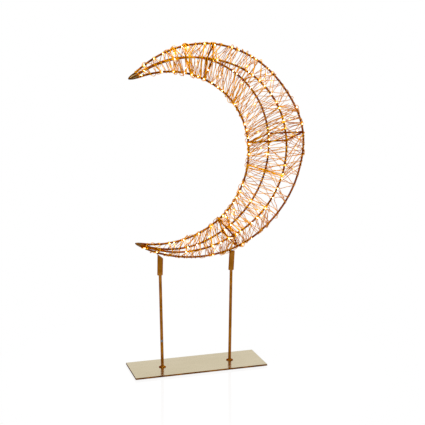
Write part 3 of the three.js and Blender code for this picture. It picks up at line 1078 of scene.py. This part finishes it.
def waysRound(half, front, lit):
    # directions in which the string passes round a wire, as turns from the middle one, and which of
    # them a light takes: the one nearest to the front of the moon
    onceMore = [2 * pi - half, 2 * pi, 2 * pi + half]
    if not lit:
        wraps = rng.random() < bendSettings["wrapShare"]
        return [-half, 0, half] + ([pi] + onceMore if wraps else []), None
    if abs(front) <= half:
        return [-half, front, half], 1
    if abs(front) - half < bendSettings["shortWay"]:
        return ([-half, 0, half, front], 3) if front > 0 else ([front, -half, 0, half], 0)
    return [-half, 0, half, front % (2 * pi)] + onceMore, 3


def bendOver(centre, first, last, along, lit):
    # the string's points as it bends over a wire, and which of them holds a light
    rest = rimSettings["radius"] + stringSettings["radius"] + bendSettings["lift"]
    middle = (first + last).normalized()
    across = (last - middle * last.dot(middle)).normalized()
    half = atan2(last.dot(across), last.dot(middle))
    front = atan2(-across.y, -middle.y)
    ways, spot = waysRound(half, front, lit)
    drift = along * bendSettings["stepAlong"] * rng.uniform(-1, 1)
    allRound = 2 * pi if len(ways) > 4 else pi
    points = []
    for n, way in enumerate(ways):
        reach = rest + (beadSettings["lift"] if n == spot else 0)
        step = drift * (way / allRound)
        points.append(centre + (middle * cos(way) + across * sin(way)) * reach + step)
    if not lit and len(ways) == 3:
        kind = rng.random()
        if kind < bendSettings["curlShare"]:
            points[1:2] = curl(centre, middle, along, rest)
        elif kind < bendSettings["curlShare"] + bendSettings["looseShare"]:
            points = looseBend(points, middle, along)
    return points, spot


def looseBend(points, middle, along):
    # a bend that stands off the wire and crosses it on the slant; each of its five points has a
    # place, and a lift as a share of how far the bend stands off
    reach = mostlyLow(bendSettings["looseReach"])
    slant = along * rng.uniform(*bendSettings["looseSlant"]) * rng.choice([-1, 1])
    first, top, last = points
    shape = [
        (first, 0.25),
        (first.lerp(top, 0.6), rng.uniform(0.7, 1.0)),
        (top, 1.0),
        (top.lerp(last, 0.5), rng.uniform(0.6, 0.9)),
        (last, 0.2),
    ]
    return [place + middle * reach * lift + slant * (n / 2 - 1) for n, (place, lift) in enumerate(shape)]


def curl(centre, middle, along, rest):
    # a loose loop of the string that stands off the wire
    radius = mostlyLow(bendSettings["curlRadius"])
    tilt, steps = bendSettings["curlTilt"], bendSettings["curlSteps"]
    way = (middle + along * rng.uniform(-tilt, tilt)).normalized()
    aside = (way.cross(along) * rng.uniform(-1, 1) + along * rng.choice([-1, 1])).normalized()
    start, turn = rng.uniform(*bendSettings["curlStart"]), rng.uniform(*bendSettings["curlTurn"])
    return [centre + way * (rest + radius) + (aside * cos(a) + way * sin(a)) * radius
            for a in (radians(start - turn * n / steps) for n in range(steps + 1))]


def nextLight():
    # how much string has run since the last light, how much has to, and where the next one goes
    return 0.0, rng.uniform(*beadSettings["spacing"]), rng.choice(beadSettings["places"])


def stringRoute():
    # the string's points, and which of them hold a light
    found = crossings()
    passThroughBeads(found)
    margins = [stringSettings["radius"]] * 3
    points, lights = [], []
    travelled, target, goal = 0.0, beadSettings["first"], 0

    def isFree(place):
        known = [points[index] for index in lights] + beadCentres
        return all((place - other).length > beadSettings["apart"] for other in known)

    for k, (corner, angle) in enumerate(found):
        before = found[k - 1][0] if k else (corner + 3) % 4
        first, last = sideNormal(angle, corner + 3), sideNormal(angle, corner)
        if (corner - before) % 4 != 1:
            first, last = last, first
        centre = wirePoint(cornerNames[corner], angle)
        lit = travelled > target and goal == corner and isFree(centre)
        bend, spot = bendOver(centre, first, last, alongWires(angle), lit)
        if points:
            run = sidePoints(points[-1], bend[0], first)
            travelled += (centre - points[-1]).length
            chosen = len(points) + rng.randrange(len(run))
            points += [insideBox(point, margins) for point in run]
            if travelled > target and goal == "side" and isFree(points[chosen]):
                lights.append(chosen)
                travelled, target, goal = nextLight()
        if lit:
            lights.append(len(points) + spot)
            travelled, target, goal = nextLight()
        points += [insideBox(point, margins) for point in bend]
    return points, [index for index in lights if 0 < index < len(points) - 1]


def softened(points):
    # one round of corner cutting, so that the string bends instead of kinking
    cut = stringSettings["cornerCut"]
    out = [points[0]]
    for a, b in zip(points, points[1:]):
        out += [a.lerp(b, cut), a.lerp(b, 1 - cut)]
    return out + [points[-1]]


def makeString(route, lights):
    fine = softened(route)
    shape = sweep(fine, [stringSettings["radius"]] * len(fine), stringSettings["sides"])
    piece = makeObject("light_string_wire", *shape, stringMetal)
    lit = np.array([tuple(route[index]) for index in lights] + [tuple(centre) for centre in beadCentres])
    # painted light: for each point, how much painted glow stands in for the light of the lights near it
    glow = []
    for point in fine:
        distances = np.linalg.norm(lit - np.array(point), axis=1)
        glow.append(min(1.0, float(np.exp(-(distances / beadSettings["paintedGlowReach"]) ** 2).sum())))
    paintedLightGlow = piece.data.attributes.new("paintedLightGlow", "FLOAT", "POINT")
    paintedLightGlow.data.foreach_set("value", np.repeat(glow, stringSettings["sides"]))
    finishPiece(piece, "moon", "string_wire", "light_string")
    length = sum((b - a).length for a, b in zip(route, route[1:]))
    print(f"light string made: {len(fine)} points, {length:.1f} m")


def dropShape(centre, direction, size):
    points, radii = [], []
    for k in range(size["rings"] + 1):
        lift = pi * k / size["rings"]
        points.append(centre - direction * size["length"] / 2 * cos(lift))
        radii.append(max(size["radius"] * sin(lift) ** beadSettings["bluntness"], size["mouth"]))
    return sweep(points, radii, size["sides"])


def dropMargins(direction):
    # how far a drop reaches along each axis
    half, radius = beadSettings["drop"]["length"] / 2, beadSettings["drop"]["radius"]
    return [abs(d) * half + sqrt(max(0.0, 1 - d * d)) * radius for d in direction]


def makeLights(route, lights):
    # the solid's lights lead one group each, and every other light joins the nearest of them
    groups = [[] for _ in beadCentres]
    groupAngles = [angleOf(centre.x, centre.z) for centre in beadCentres]
    for index in lights:
        direction = (route[index + 1] - route[index - 1]).normalized()
        place = insideBox(route[index], dropMargins(direction))
        nearest = min(range(len(groups)), key=lambda n: abs(groupAngles[n] - angleOf(place.x, place.z)))
        groups[nearest].append((place, direction))
    for n, centre in enumerate(beadCentres):
        k = min(range(1, len(route) - 1), key=lambda k: (route[k] - centre).length)
        groups[n].append((centre, (route[k + 1] - route[k - 1]).normalized()))
        shells = [dropShape(place, direction, beadSettings["drop"]) for place, direction in groups[n]]
        chips = [dropShape(place, direction, beadSettings["chip"]) for place, direction in groups[n]]
        piece = makeObject(f"light_beads_{n + 1:02d}", *joinParts(shells + chips), dropResin)
        secondMaterial(piece, dropChip, sum(len(faces) for _, faces in shells))
        finishPiece(piece, "moon", "light_bead", f"light_bead_{n + 1:02d}")
    print(f"lights made: {len(lights) + len(groups)}")


stringPoints, lightSpots = stringRoute()
makeString(stringPoints, lightSpots)
makeLights(stringPoints, lightSpots)


# Floor, lamps, world and camera

floorSettings = {
    "size": 12.0,
    "white": 0.94,
    "glow": 0.85,  # how much of the floor, as the camera sees it, is plain white
    "shine": 0.5,
    "roughness": 0.06,
    "shadowReach": (0.15, 0.38),  # metres from the middle over which shadows and reflections fade to white
}

lampSettings = {
    # place, size in metres, watts
    "keyLamp": ((-1.5, -1.6, 2.2), 1.2, 26),
    "fillLamp": ((2.2, -1.2, 1.2), 1.5, 10),
    "topLamp": ((0.1, -0.2, 2.6), 1.0, 22),
}
lampAim = Vector((0, 0, 0.3))

worldSettings = {
    "levels": (0.72, 1.0),  # brightness low down and overhead
    "heights": (0.2, 0.8),
}

cameraSettings = {
    "place": (-0.44437, -1.53869, 0.58905),
    "turn": 17.18,  # degrees to the right of straight ahead
    "dip": 10.55,  # degrees below the horizon
    "lens": 76.24,  # this and the sensor's width in millimetres
    "sensor": 36.0,
    "clip": (0.05, 60.0),
}


def mixShaders(tree, share, first, second):
    node = addNode(tree, "ShaderNodeMixShader", {"Fac": share, 1: first, 2: second})
    return node.outputs["Shader"]


def seenByCamera(tree):
    # 1 for what the camera sees, itself or in a mirror or through glass, and otherwise 0
    path = tree.nodes.new("ShaderNodeLightPath")
    seen = maths(tree, "ADD", path.outputs["Is Camera Ray"], path.outputs["Is Glossy Ray"])
    return maths(tree, "ADD", seen, path.outputs["Is Transmission Ray"], clamp=True)


def makeFloor():
    size, grey = floorSettings["size"], floorSettings["white"]
    verts = [Vector((x * size, y * size, 0)) for x, y in [(-1, -1), (1, -1), (1, 1), (-1, 1)]]
    material, tree, shader = newMaterial("paleFloor")
    tree.nodes.remove(shader)
    diffuse = addNode(tree, "ShaderNodeBsdfDiffuse", {"Color": (grey, grey, grey, 1)})
    shine = addNode(tree, "ShaderNodeBsdfAnisotropic", {"Roughness": floorSettings["roughness"]})
    surface = mixShaders(tree, floorSettings["shine"], diffuse.outputs["BSDF"], shine.outputs["BSDF"])
    glow = addNode(tree, "ShaderNodeEmission", {"Color": white, "Strength": 1.0})
    coords = tree.nodes.new("ShaderNodeTexCoord")
    length = addNode(tree, "ShaderNodeVectorMath", {0: coords.outputs["Object"]})
    length.operation = "LENGTH"
    fade = spread(tree, length.outputs["Value"], (floorSettings["glow"], 1.0), floorSettings["shadowReach"])
    share = maths(tree, "MULTIPLY", seenByCamera(tree), fade)
    mix = mixShaders(tree, share, surface, glow.outputs["Emission"])
    setInputs(tree, tree.nodes["Material Output"], {"Surface": mix})
    makeObject("floor", verts, [(0, 1, 2, 3)], material, smooth=False)


def makeLamps():
    for name, (place, size, watts) in lampSettings.items():
        data = bpy.data.lights.new(name, "AREA")
        data.shape = "SQUARE"
        data.size = size
        data.energy = watts
        lamp = addObject(name, data)
        lamp.location = place
        lamp.rotation_euler = (lampAim - Vector(place)).to_track_quat("-Z", "Y").to_euler()


def makeWorld():
    # white to the camera and in reflections; to everything else a pale room, brighter overhead
    world = bpy.data.worlds.new("studio")
    bpy.context.scene.world = world
    world.use_nodes = True
    tree = world.node_tree
    coords = tree.nodes.new("ShaderNodeTexCoord")
    parts = addNode(tree, "ShaderNodeSeparateXYZ", {"Vector": coords.outputs["Generated"]})
    level = spread(tree, parts.outputs["Z"], worldSettings["levels"], worldSettings["heights"])
    room = tree.nodes["Background"]
    setInputs(tree, room, {"Color": white, "Strength": level})
    plain = addNode(tree, "ShaderNodeBackground", {"Color": white, "Strength": 1.0})
    mix = mixShaders(tree, seenByCamera(tree), room.outputs["Background"], plain.outputs["Background"])
    setInputs(tree, tree.nodes["World Output"], {"Surface": mix})


def makeCamera():
    data = bpy.data.cameras.new("camera")
    data.lens = cameraSettings["lens"]
    data.sensor_width = cameraSettings["sensor"]
    data.clip_start, data.clip_end = cameraSettings["clip"]
    camera = addObject("camera", data)
    camera.location = cameraSettings["place"]
    tilt, turn = radians(90 - cameraSettings["dip"]), -radians(cameraSettings["turn"])
    camera.rotation_euler = (tilt, 0, turn)
    bpy.context.scene.camera = camera


makeFloor()
makeLamps()
makeWorld()
makeCamera()
bpy.context.scene.view_settings.view_transform = "Standard"
print("floor, lamps, world and camera made")
